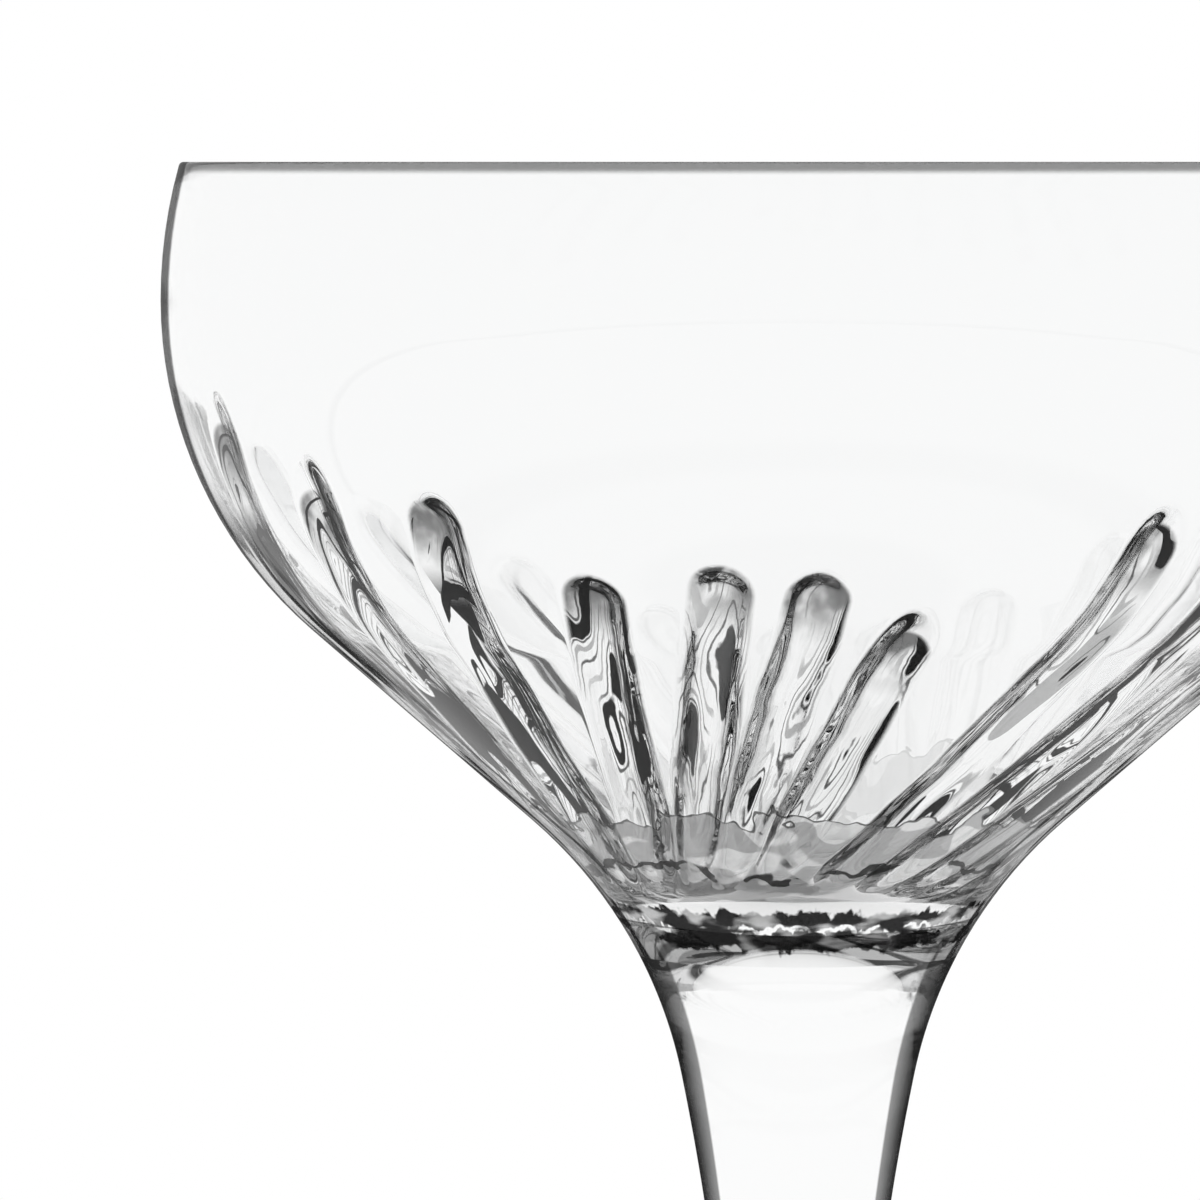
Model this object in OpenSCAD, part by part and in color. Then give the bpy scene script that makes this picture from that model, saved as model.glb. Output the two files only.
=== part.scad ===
// Coupe glass in clear glass: a wide shallow bowl with raised petals pressed inside it,
// a solid drawn stem and a round foot, fused end to end.
// The glass stands on z = 0 with its axis along Z, and its front faces -Y.
// One outline, of arcs and lines that run smoothly into each other, gives all three pieces
// their outer shape, so they always meet flush.

/* [Bowl] */
// Height of the rim above the table
glass_h = 140; // [134:1:152]
// Widest diameter of the bowl
bowl_d = 98; // [92:1:104]
// Diameter over the rim, where the bowl has drawn in again
rim_d = 95; // [88:0.5:96]
// Depth of the widest place below the rim
bulge_drop = 10.6; // [8:0.2:14]
// Radius of the round side below the widest place
side_r = 33.4; // [30:0.2:36]
// Slope of the straight lower side, in degrees from upright
bowl_slope = 49; // [46:0.5:52]
// Thickness of the wall at the rim and down the round side
wall_t = 0.75; // [0.6:0.05:1.2]
// Slope of the inside below the round side, in degrees from upright
cavity_slope = 51.5; // [50:0.5:53]
// Depth of the floor inside the bowl below the rim
cavity_depth = 56.4; // [54:0.2:58]
// Depth below the rim at which the straight side ends and the neck starts
neck_drop = 50.6; // [49:0.2:52]
// Depth below the rim at which the bowl is fused to the stem
bowl_joint_drop = 61; // [60:0.5:64]

/* [Petals] */
// Number of petals round the inside of the bowl
petal_count = 24; // [18:1:28]
// Width of a petal where it leaves the wall
petal_w = 4.2; // [3:0.1:5]
// Height of a petal's back over the wall
petal_rise = 0.9; // [0.6:0.05:1.6]
// Depth of the petals' tips below the rim at the front
tip_drop_front = 29.5; // [26:0.5:34]
// Depth of the petals' tips below the rim at the two sides
tip_drop_side = 17; // [14:0.5:24]
// Depth of the petals' tips below the rim at the back
tip_drop_back = 38.5; // [34:0.5:42]
// Turn of the first petal to the right of the front, in degrees
petal_turn = 4.5; // [0:0.5:15]
// Lean of each petal to the right, from its foot to its tip, in degrees
petal_lean = 11; // [-14:1:14]

/* [Stem] */
// Diameter of the stem at its narrowest
stem_d = 9.4; // [7:0.2:12]
// Slope at which the neck runs into the long draw of the stem, in degrees from upright
neck_turn = 11.6; // [10:0.2:13]

/* [Foot] */
// Diameter of the foot
foot_d = 72; // [66:1:82]
// Thickness of the foot at its edge
foot_edge_t = 2; // [1.6:0.1:3]
// Rise of the top of the foot towards the stem, in degrees
foot_rise = 10; // [7:0.5:13]
// Radius of the flare between the stem and the foot
flare_r = 24; // [20:1:28]
// Height at which the foot is fused to the stem
foot_joint_h = 14; // [11:0.5:17]
// Width of the flat ring that the glass stands on
ring_w = 4; // [2:0.5:8]
// Height of the hollow under the middle of the foot
hollow_h = 1.6; // [0.6:0.1:2.4]

/* [Hidden] */
$fn = 144;
// Distance by which a cut runs past the face that it opens
over = 1;
// Most degrees that one straight step of an arc turns
arc_step = 5;
// Radius of a petal's round tip, as a share of the rib's own radius
tip_share = 1.03;
// How far petals stand off their even places, as shares of the space between two petals: from
// the first petal round to the right, and from the last one back to the left
turn_right_shares = [-0.29, -0.55, -0.07];
turn_left_shares = [0.05, 0.15, 0.04];
// How far the tips of the same petals stand off their even depth, as shares of a petal's width
drop_right_shares = [0, 0.83, 0];
drop_left_shares = [0.1, 0.7, 0.14, 0.43];

// Points along an arc, from one angle to another
function arc(mid, r, from, to, step = arc_step) =
    let (n = ceil(abs(to - from) / step))
    [for (i = [0 : n]) mid + r * [cos(from + (to - from) * i / n), sin(from + (to - from) * i / n)]];

// Round side: both arcs have their middles level with the widest place
bulge_h = glass_h - bulge_drop;
draw_in = (bowl_d - rim_d) / 2;
top_r = (bulge_drop * bulge_drop + draw_in * draw_in) / (2 * draw_in);
top_mid = [bowl_d / 2 - top_r, bulge_h];
side_mid = [bowl_d / 2 - side_r, bulge_h];

// Rim: half a round on the end of the wall, which leans in by rim_lean degrees there
rim_r = wall_t / 2;
rim_lean = asin((bulge_drop - rim_r) / (top_r - rim_r));
rim_mid = top_mid + (top_r - rim_r) * [cos(rim_lean), sin(rim_lean)];

// Foot: the flare leaves the stem upright and ends on the sloping top of the foot
edge_r = foot_edge_t / 2;
edge_mid = [foot_d / 2 - edge_r, edge_r];
flare_mid_x = stem_d / 2 + flare_r;
flare_end_x = flare_mid_x - flare_r * sin(foot_rise);
slope_end = edge_mid + edge_r * [sin(foot_rise), cos(foot_rise)];
flare_end_h = slope_end[1] + (slope_end[0] - flare_end_x) * tan(foot_rise);
waist_h = flare_end_h + flare_r * cos(foot_rise);
flare_mid = [flare_mid_x, waist_h];

// Stem: the neck curve leaves the straight side of the bowl at neck_drop and runs at neck_turn
// into the draw, which stands upright at the waist. What the two curves span together, across
// and in height, gives their radii.
cone_top = side_mid + side_r * [cos(bowl_slope), -sin(bowl_slope)];
neck_top_h = glass_h - neck_drop;
neck_top_r = cone_top[0] - (cone_top[1] - neck_top_h) * tan(bowl_slope);
span = [neck_top_r - stem_d / 2, neck_top_h - waist_h];
neck_share = [cos(neck_turn) - cos(bowl_slope), sin(bowl_slope) - sin(neck_turn)];
draw_share = [1 - cos(neck_turn), sin(neck_turn)];
both = neck_share[0] * draw_share[1] - draw_share[0] * neck_share[1];
neck_r = (span[0] * draw_share[1] - span[1] * draw_share[0]) / both;
draw_r = (span[1] * neck_share[0] - span[0] * neck_share[1]) / both;
neck_mid = [neck_top_r + neck_r * cos(bowl_slope), neck_top_h - neck_r * sin(bowl_slope)];
draw_mid = [stem_d / 2 + draw_r, waist_h];

// Outer curve of the whole glass, rising from the top of the foot to the widest place
side_line = concat(
    arc(flare_mid, flare_r, 270 - foot_rise, 180),
    arc(draw_mid, draw_r, 180 - arc_step / 4, 180 - neck_turn, arc_step / 4),
    arc(neck_mid, neck_r, 180 - neck_turn - arc_step, 180 - bowl_slope),
    arc(side_mid, side_r, -bowl_slope, 0)
);
bowl_joint_h = glass_h - bowl_joint_drop;

// Places where a rising line crosses a height, and what of the line lies above or below it
function crossing(line, h) =
    [for (i = [1 : len(line) - 1])
        let (a = line[i - 1], b = line[i])
        if (a[1] < h && b[1] >= h) a + (b - a) * (h - a[1]) / (b[1] - a[1])];
function above(line, h) = concat(crossing(line, h), [for (p = line) if (p[1] > h) p]);
function below(line, h) = concat([for (p = line) if (p[1] < h) p], crossing(line, h));

// Inside of the bowl: a round side under the wall, a straight slope and a domed floor
cavity_r = side_r - wall_t;
cavity_top = side_mid + cavity_r * [cos(cavity_slope), -sin(cavity_slope)];
floor_h = glass_h - cavity_depth;
floor_r = (cavity_top[0] * cos(cavity_slope) - (cavity_top[1] - floor_h) * sin(cavity_slope))
    / (1 - sin(cavity_slope));
slope_len = cavity_top[0] / sin(cavity_slope) - floor_r / tan(cavity_slope);

// Petals: round ribs whose middle line runs behind the inside of the wall, along the round
// side and straight down the slope, until the domed floor has risen over the rib's back
rib_r = (petal_w * petal_w / 4 + petal_rise * petal_rise) / (2 * petal_rise);
rib_path_r = cavity_r + rib_r - petal_rise;
rib_end = slope_len + sqrt(petal_rise * (2 * floor_r - petal_rise));

// Outer shape of the bowl, half of it, filled as far in as the wall's foot
module bowl_outline() {
    polygon(concat(
        [[0, bulge_h], [0, bowl_joint_h]],
        above(side_line, bowl_joint_h),
        arc(top_mid, top_r, arc_step, rim_lean),
        arc(rim_mid, rim_r, rim_lean + 2 * arc_step, rim_lean + 180, 4 * arc_step)
    ));
}

// Space inside the bowl, half of it, open through the rim
module cavity_outline() {
    way = [-sin(rim_lean), cos(rim_lean)];
    wall_end = top_mid + (top_r - wall_t) * [cos(rim_lean), sin(rim_lean)];
    polygon(concat(
        [[0, glass_h + over]],
        arc([0, floor_h + floor_r], floor_r, -90, -cavity_slope),
        arc(side_mid, cavity_r, -cavity_slope, 0),
        arc(top_mid, top_r - wall_t, arc_step, rim_lean),
        [wall_end + (over + wall_t) * way]
    ));
}

// Depth of a petal's tip below the rim, from its turn away from the front
function tip_drop(turn) =
    tip_drop_side
    + ((tip_drop_front + tip_drop_back) / 2 - tip_drop_side) * cos(turn) * cos(turn)
    + (tip_drop_front - tip_drop_back) / 2 * cos(turn);

// Way down the wall from the end of its round side to a place at a depth below the rim,
// which is less than zero on the round side
function way_down(drop) =
    drop - bulge_drop < cavity_r * sin(cavity_slope)
        ? (asin((drop - bulge_drop) / cavity_r) - cavity_slope) * cavity_r * PI / 180
        : (drop - bulge_drop - cavity_r * sin(cavity_slope)) / cos(cavity_slope);

// One petal on the +X side, from its round tip to its end under the floor: a bent length of
// rib that follows the round side, and a straight one down the slope
module petal(drop) {
    tip = way_down(drop) + petal_w / 2;
    sweep = max(-tip, 0) / cavity_r * 180 / PI;
    translate([side_mid[0], 0, side_mid[1]]) rotate([0, cavity_slope, 0]) {
        if (sweep > 0) {
            rotate([90, 0, 0]) rotate_extrude(angle = sweep) translate([rib_path_r, 0])
                circle(r = rib_r);
        }
        translate([rib_path_r, 0, -rib_end]) cylinder(r = rib_r, h = rib_end - max(tip, 0));
        rotate([0, -sweep, 0]) translate([rib_path_r, 0, -max(tip, 0)])
            sphere(r = tip_share * rib_r);
    }
}

// A petal turned about the wall's own normal, so that its tip leans to the right
module leaning_petal(drop) {
    pivot = [cavity_top[0], 0, cavity_top[1]];
    translate(pivot) rotate([0, cavity_slope, 0]) rotate([-petal_lean, 0, 0])
        rotate([0, -cavity_slope, 0]) translate(-pivot) petal(drop);
}

// Share by which a numbered petal stands off its even place
function share_off(i, right, left) =
    i < len(right) ? right[i]
    : petal_count - 1 - i < len(left) ? left[petal_count - 1 - i] : 0;

module petals() {
    for (i = [0 : petal_count - 1]) {
        turn = petal_turn + (i + share_off(i, turn_right_shares, turn_left_shares)) * 360 / petal_count;
        drop = tip_drop(turn) + petal_w * share_off(i, drop_right_shares, drop_left_shares);
        rotate([0, 0, turn - 90]) leaning_petal(drop);
    }
}

module bowl() {
    color("azure", 0.5) difference() {
        rotate_extrude() bowl_outline();
        difference() {
            rotate_extrude() cavity_outline();
            petals();
        }
    }
}

// Solid stem, wide under the bowl and narrowest low down
module stem() {
    color("aliceblue", 0.5) rotate_extrude() polygon(concat(
        [[0, bowl_joint_h], [0, foot_joint_h]],
        below(above(side_line, foot_joint_h), bowl_joint_h)
    ));
}

// Round foot with a rolled edge, a flat ring to stand on and a shallow hollow under it
module foot() {
    hollow_reach = edge_mid[0] - ring_w;
    hollow_r = (hollow_reach * hollow_reach + hollow_h * hollow_h) / (2 * hollow_h);
    hollow_turn = asin(hollow_reach / hollow_r);
    color("lightcyan", 0.5) rotate_extrude() polygon(concat(
        arc([0, hollow_h - hollow_r], hollow_r, 90, 90 - hollow_turn, arc_step / 4),
        arc(edge_mid, edge_r, -90, 90 - foot_rise, 4 * arc_step),
        below(side_line, foot_joint_h),
        [[0, foot_joint_h]]
    ));
}

bowl();
stem();
foot();
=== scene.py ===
import math

import bmesh
import bpy
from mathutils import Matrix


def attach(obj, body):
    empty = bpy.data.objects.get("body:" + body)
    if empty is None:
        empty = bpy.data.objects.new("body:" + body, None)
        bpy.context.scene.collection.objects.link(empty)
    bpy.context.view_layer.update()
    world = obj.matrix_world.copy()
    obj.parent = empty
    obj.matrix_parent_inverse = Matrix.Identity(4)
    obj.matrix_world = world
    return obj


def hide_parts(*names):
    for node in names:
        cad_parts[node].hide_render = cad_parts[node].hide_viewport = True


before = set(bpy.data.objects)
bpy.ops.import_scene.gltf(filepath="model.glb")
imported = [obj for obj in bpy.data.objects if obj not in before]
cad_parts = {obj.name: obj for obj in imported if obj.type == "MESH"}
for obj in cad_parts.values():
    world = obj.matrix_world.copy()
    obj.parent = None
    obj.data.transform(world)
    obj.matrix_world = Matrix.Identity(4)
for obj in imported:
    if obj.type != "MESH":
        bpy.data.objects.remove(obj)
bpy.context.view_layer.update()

MM = 0.001

# Sizes of the glass, as the frame has them
GLASS_H = 140 * MM
BOWL_D = 98 * MM
RIM_D = 95 * MM
BULGE_DROP = 10.6 * MM
SIDE_R = 33.4 * MM
BOWL_SLOPE = math.radians(49)
WALL_T = 0.75 * MM
CAVITY_SLOPE = math.radians(51.5)
CAVITY_DEPTH = 56.4 * MM
BOWL_JOINT_H = GLASS_H - 61 * MM
PETALS = 24
PETAL_W = 4.2 * MM
PETAL_RISE = 0.9 * MM
TIP_DROP_FRONT = 29.5 * MM
TIP_DROP_SIDE = 17 * MM
TIP_DROP_BACK = 38.5 * MM
PETAL_TURN = math.radians(4.5)
PETAL_LEAN = math.radians(11)
# Petals are counted from the first one round to the right, and from the last one back to the left.
# How far they stand off their even places, in spaces between two petals
TURN_RIGHT = (-0.29, -0.55, -0.07)
TURN_LEFT = (0.05, 0.15, 0.04)
# How far their tips stand off their even depth, in widths of a petal
DROP_RIGHT = (0, 0.83, 0)
DROP_LEFT = (0.1, 0.7, 0.14, 0.43)
# How far their round tips are drawn out to a point, and what the other tips have
REACH_RIGHT = (1.2, 2.3, 1.7)
REACH_LEFT = (0.8, 0.9, 1.2, 2.3, 2.0)
REACH = 1.3
# How strong the painted dark lines in them are, and in the others, which lie at the back and show little
LINE_SHADE_RIGHT = (1.0, 1.0, 1.2, 1.8, 1.8, 1.8)
LINE_SHADE_LEFT = (0.9, 1.0, 1.6, 2.0, 2.0, 2.0, 1.8)
LINE_SHADE = 0.2
STEM_D = 9.4 * MM
NECK_DROP = 50.6 * MM
NECK_TURN = math.radians(11.6)
FOOT_D = 72 * MM
FOOT_EDGE_T = 2 * MM
FOOT_RISE = math.radians(10)
FLARE_R = 24 * MM
FOOT_JOINT_H = 14 * MM
RING_W = 4 * MM
HOLLOW_H = 1.6 * MM

# Columns round the smooth outside, and round the inside where the petals are
SMOOTH_COLUMNS = 240
PETAL_COLUMNS = 720
# Ways down the wall that stand for rows without petals, on the outside and on the inside
OUTER = -1.0
INNER = -0.5
# Distance within which two places count as one
CLOSE = 0.001 * MM


class Wire:
    """A socket that takes part in sums: each sum on it adds its own Math node."""

    def __init__(self, bench, node, out=0):
        self.bench, self.node = bench, node
        self.socket = node.outputs[out] if node.outputs else None

    def out(self, name):
        return Wire(self.bench, self.node, name)

    def maths(self, operation, *others):
        return self.bench.maths(operation, self, *others)

    def __add__(self, other):
        return self.maths("ADD", other)

    def __radd__(self, other):
        return self.maths("ADD", other)

    def __sub__(self, other):
        return self.maths("SUBTRACT", other)

    def __rsub__(self, other):
        return self.bench.maths("SUBTRACT", other, self)

    def __mul__(self, other):
        return self.maths("MULTIPLY", other)

    def __rmul__(self, other):
        return self.maths("MULTIPLY", other)

    def __truediv__(self, other):
        return self.maths("DIVIDE", other)

    def __rtruediv__(self, other):
        return self.bench.maths("DIVIDE", other, self)

    def __neg__(self):
        return self.maths("MULTIPLY", -1.0)

    def least(self, other):
        return self.maths("MINIMUM", other)

    def most(self, other):
        return self.maths("MAXIMUM", other)

    def fade(self, start, end):
        """0 at start and 1 at end, with a soft run between them."""
        return self.bench.node("ShaderNodeMapRange", {"interpolation_type": "SMOOTHSTEP"},
                               {"Value": self, "From Min": start, "From Max": end})

    def between(self, start, full, full_end, end):
        """1 from full to full_end, and 0 up to start and from end on."""
        return self.fade(start, full) * self.fade(end, full_end)


class Bench:
    """Makes the nodes of one tree."""

    def __init__(self, tree):
        self.tree = tree

    def node(self, kind, settings=None, sockets=None, out=0):
        made = self.tree.nodes.new(kind)
        for name, value in (settings or {}).items():
            if name == "stops":
                self.set_stops(made.color_ramp, value)
            else:
                setattr(made, name, value)
        for place, value in (sockets or {}).items():
            if isinstance(value, Wire):
                self.tree.links.new(value.socket, made.inputs[place])
            else:
                made.inputs[place].default_value = value
        return Wire(self, made, out)

    def maths(self, operation, *values):
        return self.node("ShaderNodeMath", {"operation": operation}, dict(enumerate(values)))

    def attribute(self, name):
        """A number that the shape holds at each point or face."""
        if self.tree.type == "GEOMETRY":
            return self.node("GeometryNodeInputNamedAttribute", {"data_type": "FLOAT"}, {"Name": name})
        return self.node("ShaderNodeAttribute", {"attribute_name": name}, {}, "Fac")

    def set_stops(self, ramp, stops):
        while len(ramp.elements) < len(stops):
            ramp.elements.new(1.0)
        for element, (place, tone) in zip(ramp.elements, stops):
            element.position = place
            element.color = (tone, tone, tone, 1.0)

    def place(self, coordinates="Object"):
        """The point that is being drawn, with X, Y and Z apart."""
        at = self.node("ShaderNodeTexCoord", {}, {}, coordinates)
        return self.node("ShaderNodeSeparateXYZ", {}, {0: at})

    def vector(self, **parts):
        return self.node("ShaderNodeCombineXYZ", {}, parts)

    def noise(self, dimensions, vector, scale, detail, **seed):
        """Noise that lies round 0.5. In four dimensions, W is its seed."""
        return self.node("ShaderNodeTexNoise", {"noise_dimensions": dimensions},
                         {"Vector": vector, "Scale": scale, "Detail": detail, **seed})


def hypotenuse(x, y):
    """Length of the straight way that goes x across and y along."""
    return (x * x + y * y).maths("SQRT")


# Outlines: (radius, height) points of the same curves that the frame is made of

def arc(mid, r, start, end, steps):
    return [(mid[0] + r * math.cos(start + (end - start) * i / steps),
             mid[1] + r * math.sin(start + (end - start) * i / steps)) for i in range(steps + 1)]


def line(start, end, steps):
    return [tuple(a + (b - a) * i / steps for a, b in zip(start, end)) for i in range(steps + 1)]


def off(point, r, angle):
    return (point[0] + r * math.cos(angle), point[1] + r * math.sin(angle))


BULGE_H = GLASS_H - BULGE_DROP
DRAW_IN = (BOWL_D - RIM_D) / 2
TOP_R = (BULGE_DROP ** 2 + DRAW_IN ** 2) / (2 * DRAW_IN)
TOP_MID = (BOWL_D / 2 - TOP_R, BULGE_H)
SIDE_MID = (BOWL_D / 2 - SIDE_R, BULGE_H)
RIM_R = WALL_T / 2
RIM_LEAN = math.asin((BULGE_DROP - RIM_R) / (TOP_R - RIM_R))
RIM_MID = off(TOP_MID, TOP_R - RIM_R, RIM_LEAN)
EDGE_R = FOOT_EDGE_T / 2
EDGE_MID = (FOOT_D / 2 - EDGE_R, EDGE_R)
FLARE_END_X = STEM_D / 2 + FLARE_R - FLARE_R * math.sin(FOOT_RISE)
SLOPE_END = off(EDGE_MID, EDGE_R, math.pi / 2 - FOOT_RISE)
FLARE_END_H = SLOPE_END[1] + (SLOPE_END[0] - FLARE_END_X) * math.tan(FOOT_RISE)
WAIST_H = FLARE_END_H + FLARE_R * math.cos(FOOT_RISE)
FLARE_MID = (STEM_D / 2 + FLARE_R, WAIST_H)
CONE_TOP = off(SIDE_MID, SIDE_R, -BOWL_SLOPE)
NECK_TOP_H = GLASS_H - NECK_DROP
NECK_TOP_R = CONE_TOP[0] - (CONE_TOP[1] - NECK_TOP_H) * math.tan(BOWL_SLOPE)


def stem_curves():
    """Radii of the neck and of the draw, which together span from the waist to the bowl's side."""
    across, up = NECK_TOP_R - STEM_D / 2, NECK_TOP_H - WAIST_H
    neck = (math.cos(NECK_TURN) - math.cos(BOWL_SLOPE), math.sin(BOWL_SLOPE) - math.sin(NECK_TURN))
    draw = (1 - math.cos(NECK_TURN), math.sin(NECK_TURN))
    both = neck[0] * draw[1] - draw[0] * neck[1]
    return (across * draw[1] - up * draw[0]) / both, (up * neck[0] - across * neck[1]) / both


NECK_R, DRAW_R = stem_curves()
DRAW_MID = (STEM_D / 2 + DRAW_R, WAIST_H)
NECK_MID = (NECK_TOP_R + NECK_R * math.cos(BOWL_SLOPE), NECK_TOP_H - NECK_R * math.sin(BOWL_SLOPE))
BOWL_JOINT_TURN = math.asin((BOWL_JOINT_H - NECK_MID[1]) / NECK_R)
FOOT_JOINT_TURN = math.asin((FOOT_JOINT_H - FLARE_MID[1]) / FLARE_R)
CAVITY_R = SIDE_R - WALL_T
CAVITY_TOP = off(SIDE_MID, CAVITY_R, -CAVITY_SLOPE)
FLOOR_H = GLASS_H - CAVITY_DEPTH
FLOOR_R = ((CAVITY_TOP[0] * math.cos(CAVITY_SLOPE) - (CAVITY_TOP[1] - FLOOR_H) * math.sin(CAVITY_SLOPE))
           / (1 - math.sin(CAVITY_SLOPE)))
SLOPE_LEN = CAVITY_TOP[0] / math.sin(CAVITY_SLOPE) - FLOOR_R / math.tan(CAVITY_SLOPE)


def joined(*runs):
    """Runs of points put end to end, with each shared end once."""
    points = []
    for run in runs:
        points += run if not points else run[1:]
    return points


def inside_point(way):
    """Place on the inside of the bowl at a way down the wall from the end of its round side."""
    if way < 0:
        return off(SIDE_MID, CAVITY_R, -CAVITY_SLOPE - way / CAVITY_R)
    if way < SLOPE_LEN:
        return (CAVITY_TOP[0] - way * math.sin(CAVITY_SLOPE), CAVITY_TOP[1] - way * math.cos(CAVITY_SLOPE))
    turn = -CAVITY_SLOPE - (way - SLOPE_LEN) / FLOOR_R
    return off((0, FLOOR_H + FLOOR_R), FLOOR_R, turn)


# Turned bodies

def turned(name, rows):
    """A closed body turned on the glass's axis. A row is (radius, height, columns, way, twist)."""
    shape = bpy.data.meshes.new(name)
    rings, points, ways = [], [], []
    for radius, height, columns, way, twist in rows:
        count = columns if radius > 0 else 1
        rings.append(range(len(points), len(points) + count))
        for i in range(count):
            turn = 2 * math.pi * i / count - twist
            points.append((radius * math.sin(turn), -radius * math.cos(turn), height))
            ways.append(way)
    faces = []
    for low, high in zip(rings, rings[1:]):
        faces += band(low, high) if len(low) <= len(high) else [face[::-1] for face in band(high, low)]
    shape.from_pydata(points, [], faces)
    mesh = bmesh.new()
    mesh.from_mesh(shape)
    bmesh.ops.recalc_face_normals(mesh, faces=mesh.faces)
    mesh.to_mesh(shape)
    mesh.free()
    shape.attributes.new("way", "FLOAT", "POINT").data.foreach_set("value", ways)
    outside = shape.attributes.new("outside", "FLOAT", "POINT")
    outside.data.foreach_set("value", [float(way == OUTER) for way in ways])
    return shape


def band(few, many):
    """Faces between two rings, the second of which has as many points or a whole number of times more."""
    few_count, many_count = len(few), len(many)
    if few_count == 1:
        return [(few[0], many[i], many[(i + 1) % many_count]) for i in range(many_count)]
    share = many_count // few_count
    faces = []
    for i in range(few_count):
        here, there = few[i], few[(i + 1) % few_count]
        fine = [many[(i * share + j) % many_count] for j in range(share + 1)]
        if share == 1:
            faces.append((here, fine[0], fine[1], there))
            continue
        middle = share // 2
        faces += [(here, fine[j], fine[j + 1]) for j in range(middle)]
        faces.append((here, fine[middle], there))
        faces += [(there, fine[j], fine[j + 1]) for j in range(middle, share)]
    return faces


def finished(name, shape, slot):
    """Turns a shape into a piece of the glass, smooth except at its fused faces."""
    for polygon in shape.polygons:
        polygon.use_smooth = True
    fused = [polygon.material_index == 1 for polygon in shape.polygons]
    sides = {}
    for polygon, flat in zip(shape.polygons, fused):
        for key in polygon.edge_keys:
            sides.setdefault(key, set()).add(flat)
    for edge in shape.edges:
        edge.use_edge_sharp = len(sides[edge.key]) == 2
    piece = bpy.data.objects.new(name, shape)
    bpy.context.collection.objects.link(piece)
    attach(piece, "root")
    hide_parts(slot.split("_")[0])
    return piece


def mark_fused(shape, heights):
    """Gives the level faces where two pieces are fused the second material."""
    upright = 0.999
    for polygon in shape.polygons:
        at_joint = any(abs(polygon.center.z - height) < CLOSE for height in heights)
        polygon.material_index = 1 if at_joint and abs(polygon.normal.z) > upright else 0
    fused = shape.attributes.new("fused", "FLOAT", "FACE")
    fused.data.foreach_set("value", [float(polygon.material_index) for polygon in shape.polygons])


# Petals pressed up inside the bowl

# How softly petals run into the wall and each other, and how much pressed glass ripples and sways
SOFTNESS = 0.6 * MM
RIPPLE = 0.16 * MM
RIPPLE_LEN = 2.6 * MM
SWAY = 0.7 * MM
SWAY_LEN = 7 * MM
SEED = 7.0
# The ripple's noise is read round a circle, and drawn out down the wall
RIPPLE_CIRCLE_R = 20 * MM
RIPPLE_STRETCH = 1.8
# Way through the sway's noise from one petal to the next
SWAY_STEP = 0.1


def off_even(number, right, left, plain=0):
    """What a numbered petal has of its own, counted from the front to the right and to the left."""
    if number < len(right):
        return right[number]
    return left[PETALS - 1 - number] if PETALS - 1 - number < len(left) else plain


def way_down(drop):
    """Way down the wall to a place at a depth below the rim."""
    below = drop - BULGE_DROP
    if below < CAVITY_R * math.sin(CAVITY_SLOPE):
        return (math.asin(below / CAVITY_R) - CAVITY_SLOPE) * CAVITY_R
    return (below - CAVITY_R * math.sin(CAVITY_SLOPE)) / math.cos(CAVITY_SLOPE)


def petal_marks():
    """A point for each petal, which holds its turn from the front, the way down to the middle of its
    tip, how far the tip is drawn out and how strong its painted dark lines are."""
    turns, tips, reaches, line_shades = [], [], [], []
    for number in range(PETALS):
        turn = PETAL_TURN + (number + off_even(number, TURN_RIGHT, TURN_LEFT)) * 2 * math.pi / PETALS
        drop = (TIP_DROP_SIDE
                + ((TIP_DROP_FRONT + TIP_DROP_BACK) / 2 - TIP_DROP_SIDE) * math.cos(turn) ** 2
                + (TIP_DROP_FRONT - TIP_DROP_BACK) / 2 * math.cos(turn)
                + PETAL_W * off_even(number, DROP_RIGHT, DROP_LEFT))
        turns.append(turn)
        reaches.append(off_even(number, REACH_RIGHT, REACH_LEFT, REACH))
        tips.append(way_down(drop) + PETAL_W / 2 * reaches[-1])
        line_shades.append(off_even(number, LINE_SHADE_RIGHT, LINE_SHADE_LEFT, LINE_SHADE))
    shape = bpy.data.meshes.new("Petal marks")
    shape.from_pydata([(0, 0, 0)] * PETALS, [], [])
    for name, values in (("turn", turns), ("tip", tips), ("reach", reaches), ("ink", line_shades)):
        shape.attributes.new(name, "FLOAT", "POINT").data.foreach_set("value", values)
    marks = bpy.data.objects.new("Petal marks", shape)
    bpy.context.collection.objects.link(marks)
    return marks


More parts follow.
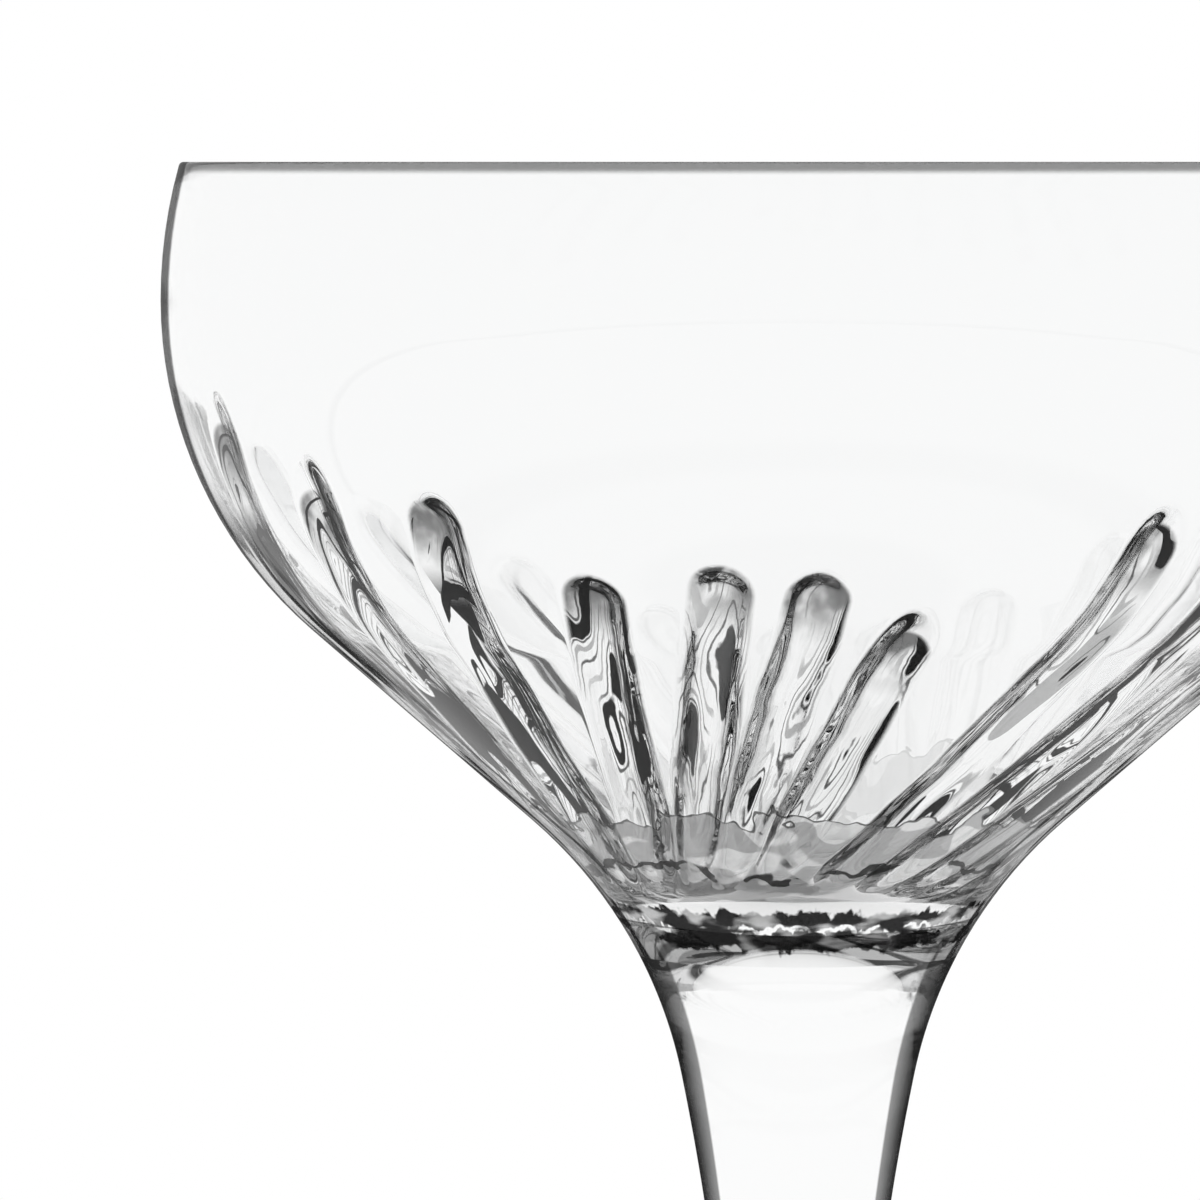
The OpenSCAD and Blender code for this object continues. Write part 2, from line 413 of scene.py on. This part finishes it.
def petal_tree(marks, materials):
    """Nodes that raise the petals, and the values of their inputs by the sockets' identifiers."""
    tree = bpy.data.node_groups.new("Petals in the bowl", "GeometryNodeTree")
    bench = Bench(tree)
    inputs = [("Petals", "Int", PETALS), ("Width", "Float", PETAL_W), ("Rise", "Float", PETAL_RISE),
              ("First turn", "Float", PETAL_TURN), ("Lean", "Float", PETAL_LEAN),
              ("Slope length", "Float", SLOPE_LEN), ("Floor round", "Float", FLOOR_R),
              ("Softness", "Float", SOFTNESS), ("Ripple", "Float", RIPPLE),
              ("Ripple length", "Float", RIPPLE_LEN), ("Sway", "Float", SWAY),
              ("Sway length", "Float", SWAY_LEN), ("Seed", "Float", SEED), ("Marks", "Object", marks)]
    tree.interface.new_socket("Bowl", in_out="INPUT", socket_type="NodeSocketGeometry")
    settings = {}
    for name, kind, value in inputs:
        socket = tree.interface.new_socket(name, in_out="INPUT", socket_type="NodeSocket" + kind)
        settings[socket.identifier] = value
    tree.interface.new_socket("Bowl", in_out="OUTPUT", socket_type="NodeSocketGeometry")
    given = bench.node("NodeGroupInput")
    size = {name: given.out(name) for name, _, _ in inputs}

    position = bench.node("GeometryNodeInputPosition")
    place = bench.node("ShaderNodeSeparateXYZ", {}, {0: position})
    x, y = place.out("X"), place.out("Y")
    radius = hypotenuse(x, y)
    way = bench.attribute("way")
    lean_sin, lean_cos = size["Lean"].maths("SINE"), size["Lean"].maths("COSINE")
    pitch = 2 * math.pi / size["Petals"]
    turn = x.maths("ARCTAN2", -y) + (way * lean_sin / lean_cos).maths("ARCTAN2", radius)
    nearest = ((turn - size["First turn"]) / pitch).maths("ROUND") + size["Petals"]
    rib = (size["Width"] * size["Width"] / 4 + size["Rise"] * size["Rise"]) / (2 * size["Rise"])
    points = bench.node("GeometryNodeObjectInfo", {}, {"Object": size["Marks"]}, "Geometry")

    def noise(vector, length, detail):
        """Soft ups and downs round 0, about a length apart."""
        return bench.noise("4D", vector, 1 / length, detail, W=size["Seed"]) - 0.5

    def rib_at(number):
        """How far the round back of a petal stands over the wall at a point. Then how far the point
        lies to its side and past the middle of its tip, its number and the strength of its painted lines."""
        def held(name):
            return bench.node("GeometryNodeSampleIndex", {"data_type": "FLOAT"},
                              {"Geometry": points, "Value": bench.attribute(name), "Index": number})
        aside = radius * (turn - held("turn")).maths("WRAP", math.pi, -math.pi)
        past = way / lean_cos - aside * lean_sin - held("tip")
        sway = noise(bench.vector(Y=past, Z=number * SWAY_STEP), size["Sway length"], 1.0)
        across = aside * lean_cos + sway * size["Sway"]
        drawn = past.least(0) / held("reach")
        under = (rib * rib - across * across - drawn * drawn).most(0)
        return under.maths("SQRT") - (rib - size["Rise"]), across, past, number, held("ink")

    height, *marked = rib_at(nearest.maths("MODULO", size["Petals"]))
    for step in (1, -1):
        beside, *others = rib_at((nearest + step).maths("MODULO", size["Petals"]))
        nearer = beside.maths("GREATER_THAN", height)
        marked = [own + nearer * (other - own) for own, other in zip(marked, others)]
        height = height.maths("SMOOTH_MAX", beside, size["Softness"])

    # The floor rises over the backs of the petals
    risen = 1 - ((way - size["Slope length"]).most(0) / size["Floor round"]).maths("COSINE")
    height = (height - risen * size["Floor round"]).maths("SMOOTH_MAX", 0.0, size["Softness"])
    along = bench.vector(X=turn.maths("SINE") * RIPPLE_CIRCLE_R, Y=turn.maths("COSINE") * RIPPLE_CIRCLE_R,
                         Z=way / RIPPLE_STRETCH)
    ripple = noise(along, size["Ripple length"], 1.5)
    raised = height + ripple * size["Ripple"] * height.fade(0, size["Rise"])
    moved = bench.node("GeometryNodeSetPosition", {}, {
        "Geometry": given.out("Bowl"),
        "Offset": bench.node("ShaderNodeVectorMath", {"operation": "SCALE"},
                             {0: bench.node("GeometryNodeInputNormal"), "Scale": raised})})
    across, past = marked[:2]
    marked.append(hypotenuse(across, past.least(0)))
    for name, value in zip(("across", "past", "petal", "ink", "edge"), marked):
        moved = bench.node("GeometryNodeStoreNamedAttribute", {"data_type": "FLOAT", "domain": "POINT"},
                           {"Geometry": moved, "Name": name, "Value": value})
    whole = bench.node("GeometryNodeRealizeInstances", {}, {"Geometry": moved})
    fused = bench.attribute("fused")
    for material, chosen in zip(materials, (1 - fused, fused)):
        whole = bench.node("GeometryNodeSetMaterial", {},
                           {"Geometry": whole, "Selection": chosen, "Material": material})
    bench.node("NodeGroupOutput", {}, {0: whole})
    return tree, settings


def petalled(shape, materials):
    """The shape with its petals raised, as a plain mesh."""
    marks = petal_marks()
    tree, settings = petal_tree(marks, materials)
    raw = bpy.data.objects.new("Bowl before its petals", shape)
    bpy.context.collection.objects.link(raw)
    pressing = raw.modifiers.new("Petals", "NODES")
    pressing.node_group = tree
    for name, value in settings.items():
        pressing[name] = value
    seen = raw.evaluated_get(bpy.context.evaluated_depsgraph_get())
    result = bpy.data.meshes.new_from_object(seen)
    raw.modifiers.remove(pressing)
    bpy.data.objects.remove(raw)
    bpy.data.objects.remove(marks)
    return result


# Finishes

CLEAR = (0.97, 0.973, 0.973, 1)
# Near-black matt into which the glass is mixed where shade is painted
NEAR_BLACK = (0.004, 0.004, 0.004, 1)
WHITE = (1, 1, 1, 1)

# A tone of painted shade runs from 0, clear, to 1, dark. A fade over noise chooses how much of the glass
# takes it.

# Heights over which the painted outline comes in, changes to a thin wall's in the bowl, which the other
# pieces never reach, and changes to a fine line above the petals, and over which the rim is painted grey
OUTLINE_H = (14 * MM, 18 * MM)
WALL_THIN_H = (76 * MM, 81 * MM)
NEVER_THIN_H = (300 * MM, 400 * MM)
FINE_LINE_H = (108 * MM, 118 * MM)
RIM_H = (GLASS_H - 1.0 * MM, GLASS_H - 0.5 * MM)
# Tone of the grey shade painted on the rim
RIM_PAINTED_SHADE = 0.45
# Tones of the painted dark outline of solid glass, from face on to side on
SOLID_TONES = ((0.0, 0.0), (0.42, 0.0), (0.445, 0.70), (0.53, 0.80), (0.64, 0.91), (0.76, 0.965),
               (1.0, 0.97))
# How far side on the wall is where its painted fine line comes in
FINE_LINE = (0.83, 0.86)
FINE_LINE_TONE = 0.82
# Distances in from the outline over which painted dark streaks come in beside the petals, and a painted
# line at the edge
STREAKS_IN = (3.2 * MM, 1.6 * MM)
EDGE_IN = (0.5 * MM, 0.35 * MM)
EDGE_TONE = 0.85
STREAK_SQUEEZE = 1.3
STREAK_STRETCH = 9
# Share of the petals' painted lines that shows where they aren't seen through the glass
UNSEEN_SHARE = 0.3

# Painted contour lines in a petal, by where they lie in its field: start, end, softness and tone. The
# field is folded to and fro between two values, near which the glass is painted black.
CONTOURS = ((0.37, 0.394, 0.006, 0.9), (0.45, 0.48, 0.005, 0.45), (0.535, 0.555, 0.006, 0.9),
            (0.595, 0.63, 0.005, 0.5), (0.65, 0.67, 0.006, 0.9))
FIELD_FOLD = 0.31
FIELD_SPAN = 0.41
ARCH_LEN = 5.5 * MM
# Length over which a petal would draw in to half its width
DRAW_IN_LEN = 30 * MM
# Step through the noise of the lines from one petal to the next
PETAL_STEP = 10 * MM
# Way past the tip's middle over which its painted grey goes, and over which the painted black wedges come
# in
TIP_GREY = (6 * MM, -0.5 * MM)
WEDGES = (3 * MM, 8 * MM)
# Strengths of a petal's painted lines over which painted arches and wedges come in
ARCHES_LINE_SHADE = (1.1, 1.9)
WEDGES_LINE_SHADE = (0.9, 1.5)

# Heights of the painted dark band round the neck, and of the lighter streak left in it
BAND_H = (80.2 * MM, 80.5 * MM, 83.2 * MM, 83.5 * MM)
LIGHT_STREAK_H = (81.6 * MM, 81.8 * MM, 82.0 * MM, 82.2 * MM)
BAND_RAGS = 2.6 * MM
# How far the middle of the painted jagged edge on the floor lies above the floor's round, and how jagged
# it is
FLOOR_EDGE_UP = 1.5 * MM
FLOOR_JAGS = 9 * MM
# Ways past that edge: of its painted dark line and the painted dark arcs, and over which the painted grey
# comes in and the petals' painted lines end
FLOOR_EDGE = (0, 0.1 * MM, 0.4 * MM, 0.55 * MM)
FLOOR_ARCS = (6.0 * MM, 6.2 * MM, 7.2 * MM, 7.6 * MM)
FLOOR_GREY = (0.3 * MM, 0.5 * MM)
PETAL_END = (0.3 * MM, 0)


def material(name, build):
    """A new material, whose shader the build function makes on a bench."""
    made = bpy.data.materials.new(name)
    made.use_nodes = True
    made.node_tree.nodes.clear()
    bench = Bench(made.node_tree)
    bench.node("ShaderNodeOutputMaterial", {}, {"Surface": build(bench)})
    return made


def matt(bench, colour, roughness):
    """Plain shader without gloss."""
    return bench.node("ShaderNodeBsdfPrincipled", {}, {
        "Base Color": colour, "Roughness": roughness, "Specular IOR Level": 0.0})


def clear_glass(thin_h, pressed=False):
    """Clear glass, painted dark where it turns side on, at the rim, round the neck and in what is
    pressed into it. A real one draws these tones from a dark studio."""
    def build(bench):
        place = bench.place()
        seen_through = bench.node("ShaderNodeNewGeometry", {}, {}, "Backfacing")
        outside = bench.attribute("outside") * (1 - seen_through)
        # Painted shade along the outline, on the outside of the glass only
        shade = outside * outline(bench, place, thin_h)
        # Grey shade painted on the rim
        shade = shade.most(place.out("Z").fade(*RIM_H) * RIM_PAINTED_SHADE)
        if pressed:
            # The painted lines are strong only where seen through the glass, which is what draws such
            # lines
            share = UNSEEN_SHARE + (1 - UNSEEN_SHARE) * seen_through
            shade = shade.most(painted_bowl_shade(bench, place) * share)
            # Painted dark band round the neck, on the outside
            shade = shade.most(outside * painted_neck_band(bench, place))
        glass = bench.node("ShaderNodeBsdfPrincipled", {}, {
            "Base Color": CLEAR, "Roughness": 0.0, "IOR": 1.45, "Transmission Weight": 1.0,
            "Specular Tint": (0.4, 0.4, 0.4, 1)})
        # Where shade is painted, the glass gives way to the near-black matt
        return bench.node("ShaderNodeMixShader", {}, {0: shade, 1: glass, 2: matt(bench, NEAR_BLACK, 0.6)})
    return build


def outline(bench, place, thin_h):
    """Painted dark edge where glass turns side on, standing in for the dark studio it would refract:
    wide where it is solid, streaked beside the petals and a fine line above them."""
    x, y, height = place.out("X"), place.out("Y"), place.out("Z")
    outwards = bench.node("ShaderNodeVectorMath", {"operation": "NORMALIZE"}, {0: bench.vector(X=x, Y=y)})
    facing = bench.node("ShaderNodeLayerWeight", {}, {"Blend": 0.5, "Normal": outwards}, "Facing")
    solid = bench.node("ShaderNodeValToRGB", {"stops": SOLID_TONES}, {0: facing})
    fine = facing.fade(*FINE_LINE) * FINE_LINE_TONE
    # Distance in from the outline, as a round glass shows it
    inwards = hypotenuse(x, y) * (1 - facing) * (1 - facing) / 2
    streaks = bench.noise("2D", bench.vector(X=inwards * STREAK_SQUEEZE, Y=height / STREAK_STRETCH),
                          scale=900.0, detail=2.0)
    streaked = inwards.fade(*STREAKS_IN) * (0.3 + streaks.fade(0.46, 0.56) * 0.65)
    streaked = streaked.most(inwards.fade(*EDGE_IN) * EDGE_TONE)
    above = height.fade(*FINE_LINE_H)
    wall = fine * above + streaked * (1 - above)
    thin = height.fade(*thin_h)
    return height.fade(*OUTLINE_H) * (solid * (1 - thin) + wall * thin)


def painted_bowl_shade(bench, place):
    """Painted shade for what the inside of the bowl shows: its petals, down to the jagged edge of its
    floor, and the floor."""
    level = floor_level(bench, place)
    lines = painted_petal_lines(bench) * level.fade(*PETAL_END)
    return lines.most(painted_floor_shade(bench, place, level)) * (1 - bench.attribute("outside"))


def contour_stops():
    """Painted tones over a petal's field: black at both ends, and thin lines on clear glass between them.
    """
    stops = [(0.0, 1.0), (0.33, 1.0), (0.345, 0.0)]
    for start, end, soft, tone in CONTOURS:
        stops += [(start, 0.0), (start + soft, tone), (end - soft, tone), (end, 0.0)]
    return stops + [(0.68, 0.0), (0.69, 1.0), (1.0, 1.0)]


def painted_petal_lines(bench):
    """Painted dark contour lines that run round inside each petal, with painted arches, black patches
    and wedges along it and a grey tip, standing in for what pressed glass draws by refraction."""
    across, past, petal, ink, edge = (
        bench.attribute(name) for name in ("across", "past", "petal", "ink", "edge"))
    # A petal is narrower towards the floor, and so are its lines
    narrow = across * (1 + past.most(0) / DRAW_IN_LEN)
    out = edge / (PETAL_W / 2)
    on_petal = edge.fade(PETAL_W * 0.62, PETAL_W * 0.50)

    def noise(stretch, shift, scale, detail, seed):
        """Noise on a petal, drawn out along it."""
        at = bench.vector(X=narrow, Y=past / stretch, Z=petal * PETAL_STEP + shift)
        return bench.noise("4D", at, scale, detail, W=seed)

    wave = noise(stretch=5.5, shift=0.0, scale=330.0, detail=0.8, seed=1.0) - 0.5
    rough = noise(stretch=2.0, shift=0.5, scale=1300.0, detail=1.0, seed=2.0) - 0.5
    arches = (past / ARCH_LEN - out * out * 0.9 + wave * 2.5).maths("PINGPONG", 1.0) - 0.5
    field = (0.5 + wave * (0.6 + 0.5 * ink) + arches * 0.45 * ink.fade(*ARCHES_LINE_SHADE) + rough * 0.035
             + out * out * 0.07)
    field = (field - FIELD_FOLD).maths("PINGPONG", FIELD_SPAN) + FIELD_FOLD
    lines = bench.node("ShaderNodeValToRGB", {"stops": contour_stops()}, {0: field})
    tone = noise(stretch=3.0, shift=1.1, scale=200.0, detail=1.0, seed=3.0).fade(0.40, 0.50)
    black = field.fade(0.35, 0.34).most(field.fade(0.67, 0.68))
    blurs = noise(stretch=1.5, shift=1.7, scale=420.0, detail=2.0, seed=4.0).fade(0.30, 0.60)
    tip = past.fade(*TIP_GREY) * blurs * 0.8
    wedges = noise(stretch=4.5, shift=2.3, scale=300.0, detail=0.5, seed=5.0).fade(0.545, 0.555)
    wedges = wedges * past.fade(*WEDGES) * ink.fade(*WEDGES_LINE_SHADE)
    return (lines * tone).most(black).most(tip).most(wedges) * ink.least(1) * on_petal


def round_noise(bench, place, height_share, scale, detail):
    """Noise over the glass round its axis, drawn out up and down where the share is under 1."""
    at = bench.vector(X=place.out("X"), Y=place.out("Y"), Z=place.out("Z") * height_share)
    return bench.noise("3D", at, scale, detail)


def painted_neck_band(bench, place):
    """Painted dark, ragged band round the neck, under the floor of the bowl, with a broken lighter streak.
    """
    rags = round_noise(bench, place, 0.3, scale=900.0, detail=3.0) - 0.5
    level = place.out("Z") + rags * BAND_RAGS
    blots = round_noise(bench, place, 2.5, scale=300.0, detail=2.0)
    streak = level.between(*LIGHT_STREAK_H) * blots.fade(0.56, 0.50)
    return level.between(*BAND_H) * (blots.fade(0.38, 0.56) * 0.5 + 0.47) * (1 - streak)


def floor_level(bench, place):
    """Way down past the painted jagged edge where the petals run on to the floor of the bowl."""
    jags = round_noise(bench, place, 0.5, scale=380.0, detail=2.0) - 0.5
    return bench.attribute("way") - (SLOPE_LEN - FLOOR_EDGE_UP) + jags * FLOOR_JAGS


def painted_floor_shade(bench, place, level):
    """Painted grey shade on the floor of the bowl in lighter and darker patches, with a painted dark edge
    and dark arcs on it.
    """
    blots = round_noise(bench, place, 1.0, scale=220.0, detail=1.0)
    edge = level.between(*FLOOR_EDGE) * 0.85
    arcs = level.between(*FLOOR_ARCS) * blots.fade(0.44, 0.50) * 0.95
    grey = level.fade(*FLOOR_GREY) * (0.26 + blots.fade(0.455, 0.485) * 0.28)
    return edge.most(arcs).most(grey)


def no_surface(bench):
    """Nothing shows inside the glass where two pieces are fused."""
    return bench.node("ShaderNodeBsdfTransparent", {}, {"Color": WHITE})


BOWL_GLASS = material("Clear bowl glass", clear_glass(WALL_THIN_H, pressed=True))
STEM_GLASS = material("Clear stem glass", clear_glass(NEVER_THIN_H))
FOOT_GLASS = material("Clear foot glass", clear_glass(NEVER_THIN_H))
FUSED = material("Fused glass", no_surface)


# Pieces

# Rows of the petals' part of the bowl, which reaches from above their tips to well down the floor
PETAL_ROWS = 108
PETAL_ROWS_ABOVE = 2 * MM
PETAL_ROWS_BELOW = 10 * MM
# Places of the rows between that part and the middle of the floor
FLOOR_ROWS = (0.25, 0.5, 0.75)


def plain_rows(points):
    return [(r, z, SMOOTH_COLUMNS, OUTER, 0) for r, z in points]


def bowl_rows():
    outside = joined(
        arc(NECK_MID, NECK_R, math.pi - BOWL_JOINT_TURN, math.pi - BOWL_SLOPE, steps=10),
        line(off(NECK_MID, NECK_R, math.pi - BOWL_SLOPE), CONE_TOP, steps=6),
        arc(SIDE_MID, SIDE_R, -BOWL_SLOPE, 0, steps=18),
        arc(TOP_MID, TOP_R, 0, RIM_LEAN, steps=6),
        arc(RIM_MID, RIM_R, RIM_LEAN, RIM_LEAN + math.pi, steps=8),
    )
    inside = arc(TOP_MID, TOP_R - WALL_T, RIM_LEAN, 0, steps=6)[1:]
    first = -CAVITY_R * CAVITY_SLOPE + PETAL_ROWS_ABOVE
    last = SLOPE_LEN + PETAL_ROWS_BELOW
    ways = [first + (last - first) * i / PETAL_ROWS for i in range(PETAL_ROWS + 1)]
    middle = FLOOR_R * (math.pi / 2 - CAVITY_SLOPE) + SLOPE_LEN
    # The columns lean with the petals, so that their sides come out straight
    petals = [(r, z, PETAL_COLUMNS, way, math.atan2(way * math.tan(PETAL_LEAN), r))
              for way, (r, z) in ((way, inside_point(way)) for way in ways)]
    above = [(r, z, SMOOTH_COLUMNS, INNER, petals[0][4] * (i + 1) / len(inside))
             for i, (r, z) in enumerate(inside)]
    below = [(*inside_point(last + (middle - last) * share), SMOOTH_COLUMNS, INNER, petals[-1][4])
             for share in FLOOR_ROWS]
    return (plain_rows([(0, BOWL_JOINT_H)] + outside) + above + petals + below
            + [(0, FLOOR_H, 1, INNER, 0)])


def make_bowl():
    shape = turned("Bowl", bowl_rows())
    mark_fused(shape, [BOWL_JOINT_H])
    shape = petalled(shape, [BOWL_GLASS, FUSED])
    return finished("Bowl_with_pressed_petals", shape, "bowl_glass")


def make_stem():
    points = joined(
        [(0, FOOT_JOINT_H)] + arc(FLARE_MID, FLARE_R, math.pi - FOOT_JOINT_TURN, math.pi, steps=10),
        arc(DRAW_MID, DRAW_R, math.pi, math.pi - NECK_TURN, steps=24),
        arc(NECK_MID, NECK_R, math.pi - NECK_TURN, math.pi - BOWL_JOINT_TURN, steps=12)
        + [(0, BOWL_JOINT_H)],
    )
    shape = turned("Stem", plain_rows(points))
    mark_fused(shape, [BOWL_JOINT_H, FOOT_JOINT_H])
    shape.materials.append(STEM_GLASS)
    shape.materials.append(FUSED)
    return finished("Drawn_stem", shape, "stem_glass")


def make_foot():
    reach = EDGE_MID[0] - RING_W
    hollow_r = (reach ** 2 + HOLLOW_H ** 2) / (2 * HOLLOW_H)
    hollow_mid = (0, HOLLOW_H - hollow_r)
    flare_start = 1.5 * math.pi - FOOT_RISE
    points = joined(
        arc(hollow_mid, hollow_r, math.pi / 2, math.pi / 2 - math.asin(reach / hollow_r), steps=10),
        line((reach, 0), (EDGE_MID[0], 0), steps=2),
        arc(EDGE_MID, EDGE_R, -math.pi / 2, math.pi / 2 - FOOT_RISE, steps=12),
        line(SLOPE_END, off(FLARE_MID, FLARE_R, flare_start), steps=4),
        arc(FLARE_MID, FLARE_R, flare_start, math.pi - FOOT_JOINT_TURN, steps=16) + [(0, FOOT_JOINT_H)],
    )
    shape = turned("Foot", plain_rows([(r if r > CLOSE else 0, z) for r, z in points]))
    mark_fused(shape, [FOOT_JOINT_H])
    shape.materials.append(FOOT_GLASS)
    shape.materials.append(FUSED)
    return finished("Round_foot", shape, "foot_glass")


# Studio

# Place of the camera, and degrees by which it tips down and turns left
CAMERA_PLACE = (0, -700 * MM, 140 * MM)
CAMERA_DOWN = 2.757
CAMERA_LEFT = 1.25
# Tones of the world for rays inside the glass, from straight out to straight up
CEILING = ((0.65, 1.0), (0.70, 0.03), (0.76, 0.03), (0.80, 1.0), (0.94, 1.0), (0.96, 0.05), (1.0, 0.05))
ROOM_WHITE = 0.97
LIGHT_ON_FLOOR = 0.95
STUDIO_FLOOR_R = 600 * MM
# Radii between which the floor turns from matt to plain white
FLOOR_TURNS_WHITE = (90 * MM, 260 * MM)
GAP_UNDER_FOOT = 0.2 * MM
PALE = (0.93, 0.93, 0.93, 1)
BOUNCES = 32


def make_camera():
    data = bpy.data.cameras.new("Camera")
    data.sensor_width = 36
    data.lens = 273
    camera = bpy.data.objects.new("Camera", data)
    camera.location = CAMERA_PLACE
    camera.rotation_euler = (math.radians(90 - CAMERA_DOWN), 0, math.radians(CAMERA_LEFT))
    bpy.context.collection.objects.link(camera)
    bpy.context.scene.camera = camera


def studio_world():
    """White behind the glass for the camera, an even white for the floor, and for rays inside the
    glass a white wall round the studio and rings of light on a dark ceiling."""
    world = bpy.data.worlds.new("Studio")
    world.use_nodes = True
    world.node_tree.nodes.clear()
    bench = Bench(world.node_tree)
    rings = bench.node("ShaderNodeValToRGB", {"stops": CEILING}, {0: bench.place("Generated").out("Z")})
    rays = bench.node("ShaderNodeLightPath")
    seen, through = rays.out("Is Camera Ray"), rays.out("Is Transmission Ray")
    from_floor = rays.out("Diffuse Depth").least(1)
    room = through * rings + (1 - through) * ROOM_WHITE
    strength = seen.most(from_floor * LIGHT_ON_FLOOR + (1 - from_floor) * room)
    shine = bench.node("ShaderNodeBackground", {}, {"Color": WHITE, "Strength": strength})
    bench.node("ShaderNodeOutputWorld", {}, {"Surface": shine})
    bpy.context.scene.world = world


def pale_floor(bench):
    """Matt and pale round the foot, so that it takes the shadow, and plain white farther out."""
    place = bench.place()
    far = hypotenuse(place.out("X"), place.out("Y")).fade(*FLOOR_TURNS_WHITE)
    white = bench.node("ShaderNodeEmission", {}, {"Color": WHITE, "Strength": 1.0})
    return bench.node("ShaderNodeMixShader", {}, {0: far, 1: matt(bench, PALE, 0.9), 2: white})


def make_floor():
    shape = bpy.data.meshes.new("Floor")
    mesh = bmesh.new()
    bmesh.ops.create_circle(mesh, cap_ends=True, segments=96, radius=STUDIO_FLOOR_R)
    mesh.to_mesh(shape)
    mesh.free()
    shape.materials.append(material("Pale floor", pale_floor))
    floor = bpy.data.objects.new("Floor", shape)
    floor.location = (0, 0, -GAP_UNDER_FOOT)
    bpy.context.collection.objects.link(floor)


make_camera()
make_bowl()
make_stem()
make_foot()
studio_world()
make_floor()
bpy.context.scene.view_settings.view_transform = "Standard"
# Light goes many times to and fro in a glass wall
for kind in ("max", "glossy", "transmission", "transparent_max"):
    setattr(bpy.context.scene.cycles, kind + "_bounces", BOUNCES)
